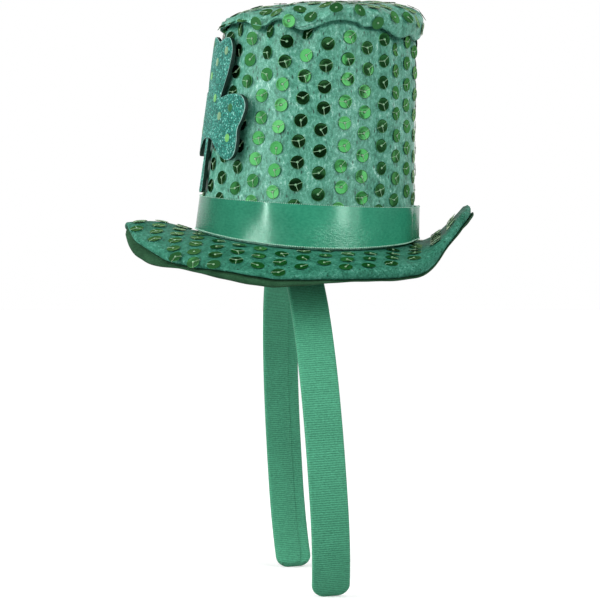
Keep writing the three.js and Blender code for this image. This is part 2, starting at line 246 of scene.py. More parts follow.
# How far the satin's threads stand up along its lower half, by the turn: it is drawn tighter at the twist
RIBBON_GLINTS = {"turn": [20, 35, 70, 85], "share": [1, 0.25, 0.25, 1]}
RIBBON_RELIEF = 0.22
PICOT_PITCH = 0.85
PICOT_SIDES = 7
PICOT_LIFTS = [-60, -20, 20, 60]
PICOT_RADIUS = {"lower": 0.3, "upper": 0.16}

# Shamrock: bent less than the crown, and nearest to it at one turn
SHAMROCK_TURN = 12.9
SHAMROCK_OFFSET = -3.4
SHAMROCK_HEIGHT = 44.2
SHAMROCK_THICK = 1.6
SHAMROCK_STANDOFF = 0.8
SHAMROCK_BEND = 0.53
SHAMROCK_CURL = 0.4
SHAMROCK_EDGE_ROUND = 0.2
# The share of that rounding at its middle, and of the reach where the rows start
SHAMROCK_BEVEL = 0.3
SHAMROCK_MIDDLE = 0.03
SHAMROCK_SKIN = 0.5
LEAVES = {"axis": [0, 100, -100], "size": [1, 0.9, 0.9]}
LEAF_OUTLINE = {
    "angle": [0, 10, 20, 29, 36, 43, 49],
    "reach": [28.3, 30.2, 31.7, 29, 22.2, 15.7, 12.4],
}
LEAF_STEPS = 84
STEM_OUTLINE = {
    "angle": [-9, -4.2, -3.4, 3.4, 4.2, 9],
    "reach": [8.6, 16, 29.4, 30, 16, 8.6],
}
STEM_STEPS = 40
SHAMROCK_ROWS = 26
# Round spangles pressed into the foam, by their place across and up from its middle
SPANGLES = {
    "light": [(3.4, 6.7), (19.1, -8), (-18, -2), (-6, 15)],
    "dark": [(18.4, 3.5), (-9.5, 27.5), (-20, 5)],
    "straw": [(0.3, 20.5), (10.2, 0), (9, 25), (-12, -6)],
}
SPANGLE_TINTS = {"light": (0.16, 0.5, 0.13), "dark": (0.03, 0.16, 0.05), "straw": (0.2, 0.38, 0.2)}
SPANGLE_PROFILE = [(1.6, -0.1), (1.6, 0.05), (1.488, 0.1)]
SPANGLE_SIDES = 20
SPANGLE_STEP = 0.1
# Marks that run from the front's middle over the edge to the back's middle: the cut, the start of the foam's
# side and back under the glitter skin, painted near-black as shade, the back's edge and its middle
FOAM_MARKS = {"cut": 1, "painted_shade_start": 1.3, "edge": 2, "back": 3}

# Sequins, sewn in staggered columns
SEQUIN_RADIUS = 2.6
SEQUIN_SIDES = 24
SEQUIN_LIFT = 0.25
# Radius and height round a sequin's section
SEQUIN_PROFILE = [(0.5, 0.05), (0.62, 0.09), (1.05, 0.05), (1.5, 0.1), (2.25, 0.1), (2.52, 0.15), (2.6, 0.11),
                  (2.5, 0.04), (1.4, 0), (0.5, 0)]
SEQUIN_LOBES = 3
# How deep the lobes are, in equal shares
SEQUIN_WARPS = [0.01, 0.03, 0.06]
SEQUIN_TILT = 1.7
COLUMN_TURN = 12
COLUMN_START = 87.3
ROW_PITCH = 8.1
ROW_START = 17.5
CROWN_ROWS = range(-1, 9)
COLUMN_SCATTER = 0.35
ROW_SCATTER = 0.2
# How far sequins tuck under the ribbon and keep off the seam, and the share of a radius that they keep
# off the tip's hem
SEQUIN_TUCK = 1.6
SEAM_CLEARANCE = 0.6
HEM_CLEARANCE = 0.7
STAGGER = 3.4
CLOTH_COLUMN_PITCH = 8.25
# How the rows of sequins lie on the flat cloth of the brim and of the tip
BRIM_GRID = {"turn": -9.6, "reach": 90, "across_shift": -6.6, "along_shift": 2}
TIP_GRID = {"turn": 24, "reach": 60, "across_shift": 1, "along_shift": 3}
BRIM_SAMPLES = 60
TIP_SAMPLES = 120
TIP_SIDE_STEP = 0.5
BRIM_SEQUIN_START = 1.4
SEQUIN_OVERHANG = 0.8
# Where a further row of sequins is sewn on the brim's rounded edge, how far past the others it reaches, how
# far past the start of the rounding it may lie, and how far it may lean
EDGE_ROW_TURN = 46
EDGE_ROW_WIDTH = 14
EDGE_ROW_REACH = 5
EDGE_ROW_PAST = 1.8
EDGE_ROW_LEAN = 25
# The part of the brim that is turned up at the back
FLAP_TURN = 170
FLAP_WIDTH = 40
THREAD_RADIUS = 0.1
THREAD_SIDES = 5
# The cloth's colours from its creases, dark with painted shade, to its silvery flecks of painted sheen, and
# the needle holes' colours, painted shade inside them
CLOTH_SHADE_AND_SHEEN_TONES = [(0.38, (0.014, 0.115, 0.07)), (0.49, (0.062, 0.275, 0.185)), (0.56, (0.12, 0.385, 0.285)),
               (0.64, (0.4, 0.68, 0.58))]
HOLE_SHADE_TONES = [(0.3, (0.006, 0.045, 0.026)), (0.7, (0.016, 0.085, 0.05))]
# The stitches that hold a sequin: the way each runs from the hole, and how often it shows
SPOKES = {"angle": [38, 182, 292], "share": [0.9, 0.75, 0.65]}
SPOKE_SPREAD = 9
SPOKE_LINE = [(0.1, 0, 0.02), (0.35, 0, 0.2), (1.4, 0, 0.17), (2.45, 0, 0.2), (2.68, 0, 0.02), (2.7, 0, -0.2)]
KNOT_PROFILE = [(0.2, -0.15), (0.42, 0.05), (0.4, 0.24), (0.18, 0.34)]
KNOT_SIDES = 10
# The share of those stitches that shows on each part of the hat
STITCHED = {"crown": 1, "brim": 0.6, "tip": 0.25}

rng = np.random.default_rng(SEED)


# Numbers

def smooth_through(angles, values, at):
    """A cubic through the values, level at both ends."""
    angles, values = np.asarray(angles, float), np.asarray(values, float)
    slopes = np.zeros_like(values)
    slopes[1:-1] = (values[2:] - values[:-2]) / (angles[2:] - angles[:-2])
    at = np.clip(at, angles[0], angles[-1])
    high = np.clip(np.searchsorted(angles, at), 1, len(angles) - 1)
    low = high - 1
    span = angles[high] - angles[low]
    t = (at - angles[low]) / span
    bend = (t - 1) ** 2 * t * span * slopes[low] + t * t * (t - 1) * span * slopes[high]
    return values[low] + (values[high] - values[low]) * t * t * (3 - 2 * t) + bend


def round_table(table, column, theta):
    """A column of a table that goes all the way round, at turns in radians."""
    angle = np.array(table["angle"], float)
    angles = np.concatenate([angle - 360, angle, angle + 360])
    return smooth_through(angles, np.tile(table[column], 3), np.degrees(theta) % 360)


def polar(radius, theta, height):
    """Points at a radius and height, turned from the front by way of +X."""
    radius, theta, height = np.broadcast_arrays(radius, theta, height)
    return np.stack([radius * np.sin(theta), -radius * np.cos(theta), height], axis=-1)


def bulge(theta, centre, width):
    """1 at a turn in degrees, falling to 0 on both sides of it."""
    off = (np.degrees(theta) - centre + 180) % 360 - 180
    return np.exp(-((off / width) ** 2))


def lerp(low, high, share):
    return low + (high - low) * share


def smoothstep(value):
    value = np.clip(value, 0, 1)
    return value * value * (3 - 2 * value)


def turns(count):
    """Equal turns in radians, all the way round."""
    return np.linspace(0, 2 * np.pi, count, endpoint=False)


def unit(vectors):
    return vectors / np.linalg.norm(vectors, axis=-1, keepdims=True)


def window(at, start, rise, end, fall):
    """A column of shares that rise to 1 from a start and fall to 0 at an end."""
    return (smoothstep((at - start) / rise) * smoothstep((end - at) / fall))[:, None]


def turned(axis, degrees):
    """The matrix of a turn about a coordinate axis."""
    c, s = math.cos(math.radians(degrees)), math.sin(math.radians(degrees))
    first, second = (axis + 1) % 3, (axis + 2) % 3
    matrix = np.eye(3)
    matrix[first, first] = matrix[second, second] = c
    matrix[second, first], matrix[first, second] = s, -s
    return matrix


HAT_TURN = turned(0, -HAT_LEAN) @ turned(1, HAT_ROLL)


def on_hat(points):
    return points @ HAT_TURN.T + np.array(HAT_PLACE)


def wander(seed, count, slowest, fastest):
    """A smooth uneven function of the turn and the height, from waves of random lengths."""
    draw = np.random.default_rng(seed)
    speeds = draw.integers(slowest, fastest, count)
    climbs = draw.normal(0, WANDER_CLIMB, count)
    phases = draw.uniform(0, 2 * np.pi, count)

    def value(theta, height):
        theta, height = np.broadcast_arrays(theta, height)
        waves = [np.sin(k * theta + c * height + p) for k, c, p in zip(speeds, climbs, phases)]
        return sum(waves) / math.sqrt(count)

    return value


# Meshes

def put(name, data):
    """An object in the scene for a mesh, a light or a camera."""
    thing = bpy.data.objects.new(name, data)
    bpy.context.scene.collection.objects.link(thing)
    return thing


def new_mesh(name, points, faces, finish):
    """A mesh of one finish, from points in millimetres."""
    mesh = bpy.data.meshes.new(name)
    mesh.from_pydata((np.asarray(points) * MM).tolist(), [], [list(face) for face in faces])
    mesh.materials.append(finish)
    return mesh


def new_piece(name, points, faces, node_slot, finish, node=None, uv=None, sharp=45):
    """A piece that rides on the part, with smooth faces."""
    mesh = new_mesh(name, points, faces, finish)
    if uv is not None:
        layer = mesh.uv_layers.new(name="cloth")
        layer.data.foreach_set("uv", np.asarray(uv, np.float32).ravel())
    mesh.validate()
    mesh.shade_smooth()
    mesh.set_sharp_from_angle(angle=math.radians(sharp))
    piece = put(name, mesh)
    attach(piece, BODY)
    if node:
        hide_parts(node)
    return piece


def ring_faces(rings, steps, endless):
    """Faces that join closed rings of points, as corners (ring, step) that run on past the last."""
    ring, step = np.meshgrid(np.arange(rings if endless else rings - 1), np.arange(steps), indexing="ij")
    corners = [(ring, step), (ring, step + 1), (ring + 1, step + 1), (ring + 1, step)]
    return np.stack([np.stack(c, axis=-1).reshape(-1, 2) for c in corners], axis=1)


def ring_shape(rings, endless, ring_marks=None, step_marks=None):
    """Points, faces and cloth coordinates of closed rings joined into one skin, capped if not endless.
    The marks are distances in millimetres along the rings' order and round each ring."""
    count, steps = rings.shape[:2]
    points = rings.reshape(-1, 3)
    corners = ring_faces(count, steps, endless)
    index = (corners[..., 0] % count) * steps + corners[..., 1] % steps
    faces = index.tolist()
    uv = None
    if ring_marks is not None:
        uv = np.stack([step_marks[corners[..., 1]], ring_marks[corners[..., 0]]], axis=-1).reshape(-1, 2)
    if not endless:
        caps = [list(range(steps))[::-1], list(range((count - 1) * steps, count * steps))]
        faces += caps
        if uv is not None:
            ends = [np.stack([step_marks[:-1], np.full(steps, ring_marks[end])], axis=-1) for end in (0, -1)]
            uv = np.concatenate([uv, ends[0][::-1], ends[1]])
    return outward(points, faces, uv)


def outward(points, faces, uv):
    """The same shape with its faces turned to point out."""
    triangles = np.array([face[:3] for face in faces])
    a, b, c = (points[triangles[:, k]] for k in range(3))
    if (a * np.cross(b, c)).sum() > 0:
        return points, faces, uv
    flipped = [face[::-1] for face in faces]
    if uv is not None:
        starts = np.cumsum([0] + [len(face) for face in faces])
        uv = np.concatenate([uv[low:high][::-1] for low, high in zip(starts, starts[1:])])
    return points, flipped, uv


def distances(points):
    """How far each point of a line lies from its start, along the line."""
    steps = np.linalg.norm(np.diff(points, axis=0), axis=-1)
    return np.concatenate([[0], np.cumsum(steps)])


def points_at(line, along, places):
    """Points of a line at distances from its start."""
    return np.stack([np.interp(places, along, row) for row in line.T], axis=-1)


def lathe(profile, sides):
    """Rings of points from radii and heights, turned about the Z axis."""
    turn = turns(sides)
    return np.array([[(r * math.cos(t), r * math.sin(t), z) for t in turn] for r, z in profile])


def hat_piece(name, rings, radius, node_slot, finish, node, closing=0):
    """A piece of the hat from rings about its axis. The last ring meets the first if there is a closing
    distance between them."""
    marks = distances(rings[:, 0])
    if closing:
        marks = np.append(marks, marks[-1] + closing)
    around = np.linspace(0, 2 * np.pi * radius, HAT_STEPS + 1)
    points, faces, uv = ring_shape(rings, bool(closing), marks, around)
    return new_piece(name, on_hat(points), faces, node_slot, finish, node, uv)


# Headband

def arch_points(turn):
    upper = np.abs(turn) < np.pi / 2
    power = np.where(upper, 2 / ARCH_POWER, 1)
    rise = np.where(upper, ARCH_RISE, LEG_FALL)
    across = np.abs(np.sin(turn)) ** power * np.sign(turn)
    up = np.abs(np.cos(turn)) ** power * np.sign(np.cos(turn))
    return np.stack([BAND_HALF_SPAN * across, rise * up - ARCH_RISE], axis=-1)


def arc(centre, radius, start, end):
    turn = np.radians(np.linspace(start, end, CORNER_STEPS))
    return [(centre[0] + radius * math.cos(t), centre[1] + radius * math.sin(t)) for t in turn]


def band_section():
    """The band's section, across its width and outward, with the wrap's lap on the inner face."""
    half, top, bottom, r = BAND_WIDTH / 2, BAND_THICK / 2, -BAND_THICK / 2, BAND_EDGE_RADIUS
    lap = bottom - LAP_THICK
    points = arc((half - r, top - r), r, 0, 90)
    points += arc((r - half, top - r), r, 90, 180)
    points += arc((r - half, lap + r), r, 180, 270)
    points += [(LAP_EDGE - LAP_THICK, lap), (LAP_EDGE, bottom - LAP_THICK / 2), (LAP_EDGE, bottom)]
    points += arc((half - r, bottom + r), r, 270, 360)
    return np.array(points)


def headband():
    line = arch_points(np.radians(np.linspace(-TIP_ANGLE, TIP_ANGLE, BAND_SAMPLES)))
    along = distances(line)
    tip = TIP_CORNER * np.linspace(0, 1, TIP_STEPS) ** 2
    middle = np.linspace(TIP_CORNER, along[-1] - TIP_CORNER, BAND_STEPS)
    places = np.concatenate([tip[:-1], middle, (along[-1] - tip[:-1])[::-1]])
    x, z = points_at(line, along, places).T
    slope = np.gradient(line, along, axis=0)
    out = points_at(np.stack([-slope[:, 1], slope[:, 0]], axis=-1), along, places)
    inset = np.maximum(0, TIP_CORNER - np.minimum(places, along[-1] - places))
    share = 1 - (TIP_CORNER - np.sqrt(TIP_CORNER ** 2 - inset ** 2)) / (BAND_WIDTH / 2)
    section = band_section()
    rings = np.stack([
        x[:, None] + out[:, :1] * section[:, 1],
        share[:, None] * section[:, 0],
        z[:, None] + out[:, 1:] * section[:, 1] + BAND_THICK / 2 + LAP_THICK,
    ], axis=-1)
    marks = distances(np.concatenate([section, section[:1]]))
    points, faces, uv = ring_shape(rings @ turned(0, BAND_LEAN).T, False, places, marks)
    return new_piece("headband_wrap", points, faces, "grosgrain", grosgrain(), "headband", uv)


# Crown

def foot_height(theta):
    return -FOOT_TILT * np.cos(theta) - FOOT_DIP * np.sin(theta) ** 2


def seam_lift(theta):
    return round_table(SEAM_WAVE, "lift", theta)


def seam_height(theta):
    return SEAM_HEIGHT + seam_lift(theta)


def crown_radius(theta, height):
    below = np.maximum(0, seam_height(theta) - height)
    gather = GATHER_SHARE * seam_lift(theta) * np.exp(-below / GATHER_FADE)
    return lerp(FOOT_RADIUS, TOP_RADIUS, height / SEAM_HEIGHT) + gather


crown_uneven = wander(SEED + 1, 14, 3, 17)


def crown_dents(theta, height):
    """How far the cloth lies in from the plain wall, from the seam's pull and its own slackness."""
    below = np.maximum(0, seam_height(theta) - height)
    dent = SEAM_GROOVE * np.exp(-((below / SEAM_GROOVE_WIDTH) ** 2))
    for angle, depth, width, length in zip(*PUCKERS.values()):
        spread = width * (1 + PUCKER_SPREAD * below / length)
        dent = dent + depth * bulge(theta, angle, spread) * np.exp(-below / length)
    drift = PLEAT_DRIFT * np.sin(PLEAT_DRIFT_COUNT * theta)
    pleats = PLEAT_DEPTH * np.sin(PLEAT_COUNT * theta + drift) * np.exp(-below / PLEAT_FADE)
    above_ribbon = smoothstep((height - RIBBON_TOP) / ROW_PITCH)
    return dent + pleats + UNEVEN * crown_uneven(theta, height) * above_ribbon


def crown_face(theta, height):
    return polar(crown_radius(theta, height) - crown_dents(theta, height), theta, height)


def crown_side():
    theta = turns(HAT_STEPS)
    share = np.linspace(0, 1, WALL_ROWS)[:, None]
    height = lerp(foot_height(theta) + GAP, seam_height(theta) + WALL_TUCK, share)
    back = height[::-WALL_BACK_STRIDE]
    inner = polar(crown_radius(theta, back) - CROWN_WALL - max(PUCKERS["depth"]), theta, back)
    rings = np.concatenate([crown_face(theta, height), inner])
    return hat_piece("crown_side_cloth", rings, FOOT_RADIUS, "sequin_cloth", SEQUIN_CLOTH, "crown_side",
                     CROWN_WALL)


# Crown tip

def skirt_inner(theta):
    return crown_radius(theta, seam_height(theta)) + GAP


def tip_controls(theta):
    """Radius and height of the panel's face from its middle to the hem, as rows to pass through."""
    lift = seam_lift(theta)
    lobe = -LOBE_SHARE * lift
    skirt_outer = skirt_inner(theta) + TIP_WALL
    radius = [np.zeros_like(theta)]
    height = [np.full_like(theta, SEAM_HEIGHT + TIP_PROFILE["up"][0] + TIP_APEX)]
    for out, up, wave in zip(*TIP_PROFILE.values()):
        ring = out * (lerp(TOP_RADIUS, skirt_outer, wave) + wave * lobe)
        radius.append(ring)
        height.append(SEAM_HEIGHT + up - TIP_TILT * ring * np.cos(theta) + wave * lift)
    radius += [skirt_outer + lobe / 2, skirt_outer - HEM_TURN, skirt_inner(theta) + HEM_TURN]
    height += [seam_height(theta) + TIP_WALL, seam_height(theta) + HEM_TURN, seam_height(theta)]
    return np.array(radius), np.array(height)


def through(rows, at):
    """Rows of numbers passed through smoothly, at places counted in rows."""
    last = len(rows) - 1
    low = np.clip(np.floor(at).astype(int), 0, last - 1)
    t = (at - low)[:, None]
    before, after = rows[np.maximum(low - 1, 0)], rows[np.minimum(low + 2, last)]
    start, end = rows[low], rows[low + 1]
    first, second = (end - before) / 2, (after - start) / 2
    hermite = (2 * t ** 3 - 3 * t ** 2 + 1) * start + (3 * t ** 2 - 2 * t ** 3) * end
    return hermite + (t ** 3 - 2 * t ** 2 + t) * first + (t ** 3 - t ** 2) * second


tip_uneven = wander(SEED + 2, 10, 2, 9)


def tip_rows(theta, at):
    """Points of the panel's face, a row for each place from its middle to its hem."""
    radius, height = (through(rows, at) for rows in tip_controls(theta))
    drift = TIP_CREASE_DRIFT * np.sin(TIP_CREASE_DRIFT_COUNT * theta + 1)
    crease = np.abs(np.sin(TIP_CREASES / 2 * theta + drift))
    dent = TIP_CREASE_DEPTH * window(at, **TIP_CREASE_SPAN) * (1 - crease) ** 2
    swell = TIP_SWELL * tip_uneven(theta, radius) * window(at, **TIP_SWELL_SPAN)
    return polar(radius - dent, theta, height + swell - dent)


def crown_tip():
    theta = turns(HAT_STEPS)
    outer = tip_rows(theta, np.linspace(TIP_START, TIP_LAST, TIP_ROWS))
    inside = [polar(skirt_inner(theta), theta, seam_height(theta) + up) for up in (GAP, WALL_TUCK + 2 * GAP)]
    under = outer[[TIP_ROWS // 2, TIP_ROWS // 4, 0]] - np.array([0, 0, TIP_WALL])
    rings = np.concatenate([outer, inside, under])
    return hat_piece("crown_tip_cloth", rings, TOP_RADIUS, "sequin_cloth", SEQUIN_CLOTH, "crown_tip")


# Brim

def brim_face(theta, along):
    """Points of the brim's upper face, from -1 at the hat's axis by 0 at the crown to 1 at the edge."""
    theta, along = np.broadcast_arrays(theta, along)
    share = 1 + np.minimum(along, 0)
    sag = FOOT_DIP * (np.sin(theta) * share) ** 2 + SEAT_SAG * (1 - share ** 2)
    seat = polar(FOOT_RADIUS * share, theta, -FOOT_TILT * np.cos(theta) * share - sag)
    out = np.maximum(along, 0)
    reach, rise, hump = (round_table(BRIM_EDGE, column, theta) for column in ("reach", "rise", "hump"))
    height = lerp(foot_height(theta), rise, out ** BRIM_CURVE) + hump * np.sin(np.pi * np.minimum(1, out))
    brim = polar(lerp(FOOT_RADIUS, reach, out), theta, height)
    return np.where((along < 0)[..., None], seat, brim)


def brim_width(theta):
    return round_table(BRIM_EDGE, "reach", theta) - FOOT_RADIUS


def brim_normal(theta, along):
    outward_step = brim_face(theta, along + NORMAL_STEP) - brim_face(theta, along - NORMAL_STEP)
    side_step = brim_face(theta + NORMAL_STEP, along) - brim_face(theta - NORMAL_STEP, along)
    return unit(np.cross(outward_step, side_step))


def brim_under(theta, along, depth):
    """Points at a depth below the brim's upper face, square to it."""
    return brim_face(theta, along) - brim_normal(theta, along) * np.asarray(depth)[..., None]


def at_rim(along):
    return smoothstep((along - RIM_START) / RIM_RUN)


def cloth_top(theta, along):
    return np.zeros_like(theta + along)


def cloth_depth(theta, along):
    """How deep the brim's cloth goes below its face, deeper where it turns down over the edge."""
    return COVER_THICK + round_table(BRIM_RIM, "turn_down", theta) * at_rim(along)


def felt_top(theta, along):
    return cloth_depth(theta, along) + LAYER_GAP + round_table(BRIM_RIM, "gape", theta) * at_rim(along)


brim_uneven = wander(SEED + 3, 16, 3, 40)


def felt_bottom(theta, along):
    drop = round_table(BRIM_RIM, "felt_drop", theta) + RIM_UNEVEN * brim_uneven(theta, 0)
    return COVER_THICK + GAP + FELT_THICK + drop * at_rim(along)


def brim_rings(places, edge, top, bottom):
    """Rings over a layer of the brim, round its edge and back under it, for depths that are functions."""
    theta = turns(HAT_STEPS)
    width = brim_width(theta)
    last = edge(theta, width)
    half = (bottom(theta, last) - top(theta, last)) / 2
    along = np.where(places[:, None] > 0, places[:, None] * (last - half / width), places[:, None])
    middle = (top(theta, along[-1]) + bottom(theta, along[-1])) / 2
    rim = [
        brim_under(theta, along[-1] + half * math.cos(turn) / width, middle - half * math.sin(turn))
        for turn in np.radians(RIM_TURNS)
    ]
    upper = brim_under(theta, along, top(theta, along))
    lower = brim_under(theta, along[::-1], bottom(theta, along[::-1]))
    return np.concatenate([upper, rim, lower])


def brim_cover():
    rings = brim_rings(
        np.linspace(COVER_INNER_RADIUS / FOOT_RADIUS - 1, 1, BRIM_ROWS),
        lambda theta, width: 1 + RIM_UNEVEN * brim_uneven(theta, 0) / width,
        cloth_top,
        cloth_depth,
    )
    # The crown's cloth darkened for the brim: painted shade
    finish = sequin_cloth("brim_cloth_painted_shade", (1, 1, 1), BRIM_CLOTH_PAINTED_SHADE, Roughness=0.6, Specular_IOR_Level=0.15)
    return hat_piece("brim_cover_cloth", rings, FOOT_RADIUS, "sequin_cloth", finish, "brim_cover",
                     COVER_THICK)


def brim_felt():
    rings = brim_rings(
        np.linspace(FELT_START, 1, BRIM_ROWS),
        lambda theta, width: FELT_EDGE + round_table(BRIM_RIM, "felt_out", theta) / width,
        felt_top,
        felt_bottom,
    )
    return hat_piece("brim_felt_base", rings, FOOT_RADIUS, "felt", felt(), "brim_felt")


# Ribbon

def ribbon_foot(theta, out):
    brim = brim_face(theta, out / brim_width(theta))
    return np.maximum(foot_height(theta), brim[..., 2]) + 2 * GAP


def ribbon_length():
    return 2 * np.pi * FOOT_RADIUS * (360 + RIBBON_LAP) / 360


def ribbon_top(theta):
    return RIBBON_TOP - RIBBON_TILT * np.cos(theta)


ribbon_uneven = wander(SEED + 4, 8, 3, 13)


def hat_ribbon():
    swept = np.linspace(0, 360 + RIBBON_LAP, RIBBON_STEPS + 1)[:, None]
    theta = np.radians(RIBBON_START + swept)
    over = np.clip((swept - 360 + RIBBON_RAMP) / RIBBON_RAMP, 0, 1)
    tail = np.clip((swept - 360) / RIBBON_LAP, 0, 1)
    lift = GAP + over * (RIBBON_THICK + GAP) + TAIL_LIFT * tail ** 2
    foot = ribbon_foot(theta, lift + RIBBON_THICK) + RIBBON_HEM_LIFT
    up = np.linspace(0, 1, RIBBON_ROWS)
    height = lerp(foot, ribbon_top(theta), up)
    flare = RIBBON_FLARE * bulge(theta, FLARE_TURN, FLARE_WIDTH) * (1 - up) ** 2
    across = FOOT_RADIUS * np.radians((RIBBON_START + swept - TWIST_TURN + 180) % 360 - 180)
    twist = TWIST_SLOPE * (up - 0.5) * across * np.exp(-((across / TWIST_WIDTH) ** 2))
    flutter = RIBBON_FLUTTER * ribbon_uneven(theta, height) + flare + twist
    back = crown_radius(theta, height) + lift
    outer = polar(back + RIBBON_THICK - RIBBON_SLACK + flutter, theta, height)
    inner = polar(back, theta, height)
    rings = np.concatenate([outer, inner[:, ::-1]], axis=1)
    around = np.radians(swept[:, 0]) * FOOT_RADIUS
    section = distances(np.concatenate([rings[0], rings[0][:1]]))
    points, faces, uv = ring_shape(rings, False, around, section)
    piece = new_piece("hat_ribbon_satin", on_hat(points), faces, "satin", satin(), "hat_ribbon", uv)
    picots("lower", outer[:, 0])
    picots("upper", outer[:, -1])
    return piece


def picots(which, edge):
    """Small pale loops of thread along an edge of the ribbon."""
    along = distances(edge)
    origins = points_at(edge, along, np.arange(0, along[-1], PICOT_PITCH))
    lifts = np.radians(PICOT_LIFTS)[:, None]
    bead = PICOT_RADIUS[which] * polar(np.cos(lifts), turns(PICOT_SIDES), np.sin(lifts))
    frames = np.broadcast_to(np.eye(3), (len(origins), 3, 3))
    points, faces = scattered(ring_shape(bead, False)[:2], origins, frames)
    new_piece(f"hat_ribbon_picots_{which}", on_hat(points), faces, "thread", PICOT, sharp=80)


# Shamrock

def shamrock_outline():
    """The flat outline as turns in radians and reaches, from the top leaflet by way of +X."""
    half = LEAF_OUTLINE["angle"][-1]
    off = np.linspace(-half, half, LEAF_STEPS + 1)
    reach = smooth_through(LEAF_OUTLINE["angle"], LEAF_OUTLINE["reach"], np.abs(off))
    top, near, far = ((axis + off, size * reach) for axis, size in zip(*LEAVES.values()))
    turn = np.radians(STEM_OUTLINE["angle"])
    flat = (np.stack([np.sin(turn), np.cos(turn)]) * STEM_OUTLINE["reach"]).T
    along = distances(flat)
    across, down = points_at(flat, along, np.linspace(0, along[-1], STEM_STEPS + 1)).T
    stem = 180 + np.degrees(np.arctan2(across, down)), np.hypot(across, down)
    angle, reach = (np.concatenate([top[k], near[k], stem[k], far[k]]) for k in range(2))
    return np.radians(angle), reach


def shamrock_place(angle, distance, out):
    """A point of the flat shamrock bent towards the crown, at a height out from its back."""
    turn = math.radians(SHAMROCK_TURN)
    across = SHAMROCK_OFFSET + distance * np.sin(angle)
    height = SHAMROCK_HEIGHT + distance * np.cos(angle)
    bend_radius = crown_radius(turn, SHAMROCK_HEIGHT) / SHAMROCK_BEND
    swing = across / bend_radius
    curl = 1 + SHAMROCK_CURL * (np.minimum(across, 0) / LEAF_OUTLINE["reach"][0]) ** 2
    fall_back = bend_radius * (1 - np.cos(swing)) * curl
    point = polar(crown_radius(turn, height) + SHAMROCK_STANDOFF + out - fall_back, turn, height)
    return point + (bend_radius * np.sin(swing))[..., None] * polar(1, turn + math.pi / 2, 0)


def shamrock():
    angle, reach = shamrock_outline()
    shares = np.linspace(SHAMROCK_MIDDLE, 1, SHAMROCK_ROWS)[:, None]
    inset = SHAMROCK_EDGE_ROUND
    bevel = SHAMROCK_BEVEL * inset
    face = shares * (reach - inset)
    front = shamrock_place(angle, face, SHAMROCK_THICK)
    rim = np.stack([
        shamrock_place(angle, reach - bevel, SHAMROCK_THICK - bevel),
        shamrock_place(angle, reach, SHAMROCK_THICK - inset),
        shamrock_place(angle, reach, SHAMROCK_THICK - SHAMROCK_SKIN),
        shamrock_place(angle, reach, inset),
    ])
    back = shamrock_place(angle, face[::-1], 0)
    edge_marks = np.linspace(FOAM_MARKS["cut"], FOAM_MARKS["edge"], len(rim) + 2)[1:-1]
    marks = np.concatenate([shares[:, 0], edge_marks, FOAM_MARKS["back"] - shares[::-1, 0]])
    rings = np.concatenate([front, rim, back])
    points, faces, uv = ring_shape(rings, False, marks, np.arange(rings.shape[1] + 1))
    piece = new_piece("shamrock_foam", on_hat(points), faces, "glitter_foam", glitter_foam(), "shamrock", uv,
                      sharp=60)
    for tint in SPANGLES:
        spangles(tint)
    return piece


def spangles(tint):
    """The round spangles of one tint on the foam's face."""
    across, up = np.array(SPANGLES[tint], float).T

    def face(x, y):
        return shamrock_place(np.arctan2(x, y), np.hypot(x, y), SHAMROCK_THICK)

    template = ring_shape(lathe(SPANGLE_PROFILE, SPANGLE_SIDES), False)[:2]
    frames = HAT_TURN @ frames_on(face, across, up, SPANGLE_STEP)
    points, faces = scattered(template, on_hat(face(across, up)), frames)
    tone = (*SPANGLE_TINTS[tint], 1)
    finish = new_material(f"spangle_{tint}", Base_Color=tone, Metallic=0.4, Roughness=0.4)[0]
    new_piece(f"shamrock_spangles_{tint}", points, faces, "glitter_foam", finish)


# Sequins and their threads

def sequin_template(warp):
    """A cupped disc with a hole, as a closed profile turned round and pulled into soft lobes."""
    rings = lathe(SEQUIN_PROFILE, SEQUIN_SIDES)
    share = np.array(SEQUIN_PROFILE)[:, :1] / SEQUIN_RADIUS
    rings[..., 2] += warp * share ** 2 * np.cos(SEQUIN_LOBES * turns(SEQUIN_SIDES))
    return ring_shape(rings, True)[:2]


def spoke_template():
    """A stitch from the hole over the rim and down into the cloth, along +X, as a thin closed tube."""
    line = np.array(SPOKE_LINE)
    heading = unit(np.gradient(line, axis=0))
    side = unit(np.cross(heading, [0, 0, 1.0]))
    turn = turns(THREAD_SIDES)[:, None]
    ring = np.cos(turn) * side[:, None] + np.sin(turn) * np.cross(side, heading)[:, None]
    return ring_shape(line[:, None] + THREAD_RADIUS * ring, False)[:2]


def scattered(template, origins, frames):
    """Copies of a template placed at origins, with frames of right, up and out as columns."""
    points, faces = template
    placed = np.einsum("mij,pj->mpi", frames, points) + origins[:, None]
    shifts = range(0, len(origins) * len(points), len(points))
    copies = [[i + shift for i in face] for shift in shifts for face in faces]
    return placed.reshape(-1, 3), copies


def joined(shapes):
    points, faces, shift = [], [], 0
    for some_points, some_faces in shapes:
        points.append(some_points)
        faces += [[i + shift for i in face] for face in some_faces]
        shift += len(some_points)
    return np.concatenate(points), faces


def spun(frames, degrees):
    """Frames turned about their own outward axis."""
    turn = np.radians(degrees)[:, None]
    c, s = np.cos(turn), np.sin(turn)
    right, up, out = np.moveaxis(frames, -1, 0)
    return np.stack([right * c + up * s, up * c - right * s, out], axis=-1)


def tilted(frames):
    """Frames leaning a little, each its own way."""
    lean = np.tan(np.radians(rng.normal(0, SEQUIN_TILT, (len(frames), 2))))
    right, up, out = np.moveaxis(frames, -1, 0)
    out = unit(out + right * lean[:, :1] + up * lean[:, 1:])
    right = unit(right - out * (right * out).sum(-1, keepdims=True))
    return np.stack([right, np.cross(out, right), out], axis=-1)


def framed(right, up):
    """Right, up and out as unit columns, from a way right and a way about up."""
    out = unit(np.cross(right, up))
    right = unit(right)
    return np.stack([right, np.cross(out, right), out], axis=-1)


